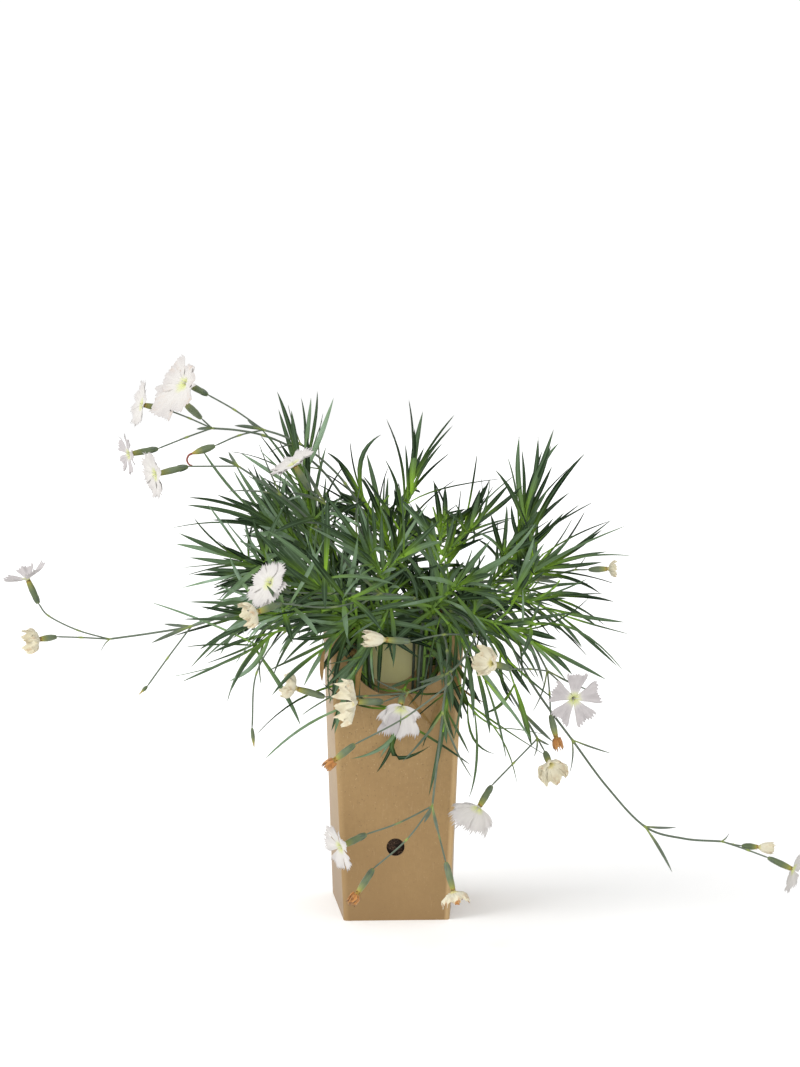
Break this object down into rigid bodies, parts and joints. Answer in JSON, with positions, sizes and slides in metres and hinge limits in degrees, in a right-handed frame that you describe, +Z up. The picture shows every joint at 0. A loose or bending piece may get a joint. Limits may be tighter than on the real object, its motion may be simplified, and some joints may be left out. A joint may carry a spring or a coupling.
{
  "type": "dianthus plant in a nursery pot and kraft carton",
  "caption": "Narrow-leaved flowering pink with fringed white blooms on arching stems, potted and standing in a tall kraft carton with a scooped front.",
  "frame": {"origin": "middle of the carton's base, on the surface it stands on", "axes": "+X towards the right of the carton seen from its scooped front, +Y away from that front, +Z up"},
  "size_m": [0.6518, 0.3489, 0.4532],
  "materials": {
    "kraft_carton": "uncoated brown kraft board, fine fibres",
    "pot": "thin black nursery pot, slightly satin",
    "label": "plain matt round label",
    "soil": "damp peat with fibres and crumbs",
    "leaf": "blue-green waxy blade, lighter keel",
    "flower_stem": "grey-green bloomed stem, yellow-green joints",
    "petal_fresh": "thin translucent white petal",
    "petal_fading": "limp cream petal with brown spots",
    "petal_dried": "shrunken dry brown petal"
  },
  "bodies": {
    "root": {"carton": "kraft_carton", "pot": "pot", "label": "label", "soil": "soil", "flower_stem_high_left": "flower_stem", "bloom_high_left": "petal_fresh", "flower_stem_far_high_left": "flower_stem", "bloom_far_high_left_1": "petal_fresh", "bloom_far_high_left_2": "petal_fresh", "flower_stem_left_arm": "flower_stem", "bloom_left_arm": "petal_fresh", "flower_stem_upper_left": "flower_stem", "bloom_upper_left": "petal_fresh", "flower_stem_front_left_pair": "flower_stem", "bloom_front_left_pair_1": "petal_fresh", "bloom_front_left_pair_2": "petal_fading", "flower_stem_far_left": "flower_stem", "bloom_far_left_1": "petal_fresh", "bloom_far_left_2": "petal_fading", "flower_stem_front_hanging": "flower_stem", "bloom_front_hanging_1": "petal_fresh", "bloom_front_hanging_2": "petal_dried", "bloom_front_hanging_3": "petal_fading", "flower_stem_front_across": "flower_stem", "bloom_front_across_1": "petal_fading", "bloom_front_across_2": "petal_dried", "bloom_front_across_3": "petal_fresh", "bloom_front_across_4": "petal_fading", "bloom_front_across_5": "petal_fading", "flower_stem_right_triple": "flower_stem", "bloom_right_triple_1": "petal_fading", "bloom_right_triple_2": "petal_fresh", "bloom_right_triple_3": "petal_dried", "flower_stem_right_pair": "flower_stem", "bloom_right_pair_1": "petal_fading", "bloom_right_pair_2": "petal_fresh", "flower_stem_far_right": "flower_stem", "bloom_far_right_1": "petal_fresh", "bloom_far_right_2": "petal_fading", "flower_stem_right_behind": "flower_stem", "bloom_right_behind": "petal_fading", "flower_stem_back_arching": "flower_stem", "bloom_back_arching": "petal_fresh", "leafy_stem_left_crest": "leaf", "leafy_stem_left_upper": "leaf", "leafy_stem_left_middle": "leaf", "leafy_stem_left_lower": "leaf", "leafy_stem_left_front": "leaf", "leafy_stem_front_left": "leaf", "leafy_stem_front_middle": "leaf", "leafy_stem_front_right": "leaf", "leafy_stem_centre_crest": "leaf", "leafy_stem_centre_right": "leaf", "leafy_stem_right_crest": "leaf", "leafy_stem_right_middle": "leaf", "leafy_stem_right_lower": "leaf", "leafy_stem_right_front": "leaf", "leafy_stem_back_left": "leaf", "leafy_stem_back_middle": "leaf", "leafy_stem_back_right": "leaf"}
  },
  "joints": []
}
